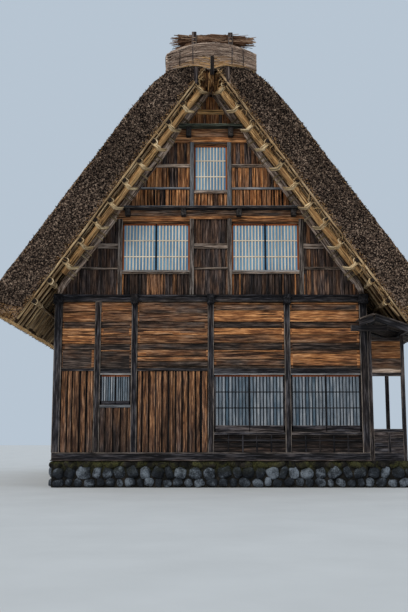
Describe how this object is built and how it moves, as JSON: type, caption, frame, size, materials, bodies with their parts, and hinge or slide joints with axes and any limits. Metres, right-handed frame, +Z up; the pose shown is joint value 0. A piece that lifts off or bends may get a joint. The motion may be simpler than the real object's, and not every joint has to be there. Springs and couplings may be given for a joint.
{
  "type": "minka farmhouse",
  "caption": "Steep thatched Japanese farmhouse with a boarded gable front, timber frame, attic windows, stone plinth and a small side lean-to.",
  "frame": {"origin": "middle of the house in plan, at the foot of the stone plinth", "axes": "+Z up; +Y along the ridge from the front gable to the back gable; +X to the right seen from the front"},
  "size_m": [14.4118, 17.7, 14.89],
  "materials": {
    "stone": "rough field stones with moss on top",
    "dark_timber": "weathered, smoke-dark",
    "plank_wood": "weathered cedar, orange brown",
    "board_wood": "weathered dark boards",
    "grey_timber": "silver-grey weathered",
    "floor_boards": "worn",
    "window_wood": "matt",
    "window_glass": "clear, reflecting the sky",
    "roof_poles": "bare poles and bamboo",
    "thatch": "trimmed miscanthus thatch, aged",
    "ridge_thatch": "long straw laid along the ridge",
    "reed_bundle": "loose reeds, bound",
    "straw_rope": "twisted straw rope",
    "roof_boards": "grey roof boards"
  },
  "bodies": {
    "root": {"stone_plinth": "stone", "floor_deck": "floor_boards", "attic_floor": "floor_boards", "upper_attic_floor": "floor_boards", "front_frame": "dark_timber", "front_bay_1_boards": "board_wood", "front_bay_2_planks": "plank_wood", "front_bay_2_window": "window_wood", "front_bay_2_low_boards": "board_wood", "front_bay_3_boards": "board_wood", "front_bay_4_planks": "plank_wood", "front_bay_4_window": "window_wood", "front_bay_4_low_boards": "board_wood", "front_bay_5_planks": "plank_wood", "front_bay_5_window": "window_wood", "front_bay_5_low_boards": "board_wood", "back_wall": "board_wood", "back_window_1": "window_wood", "back_window_2": "window_wood", "left_wall": "board_wood", "right_wall": "board_wood", "left_window": "window_wood", "right_window": "window_wood", "front_gable_lower_wall": "board_wood", "front_ledge": "dark_timber", "front_gable_upper_wall": "board_wood", "front_high_ledge": "dark_timber", "front_gable_top_boards": "board_wood", "front_gable_left_window": "window_wood", "front_gable_right_window": "window_wood", "front_gable_top_window": "window_wood", "back_gable_wall": "board_wood", "back_gable_left_window": "window_wood", "back_gable_right_window": "window_wood", "back_gable_top_window": "window_wood", "front_left_rafter": "grey_timber", "front_right_rafter": "grey_timber", "back_left_rafter": "grey_timber", "back_right_rafter": "grey_timber", "left_roof_lattice": "roof_poles", "right_roof_lattice": "roof_poles", "left_thatch": "thatch", "right_thatch": "thatch", "ridge_pole": "grey_timber", "ridge_cap": "ridge_thatch", "front_ridge_bundle": "reed_bundle", "back_ridge_bundle": "reed_bundle", "annex_frame": "grey_timber", "annex_upper_boards": "plank_wood", "annex_low_boards": "grey_timber", "annex_roof": "roof_boards"}
  },
  "joints": []
}
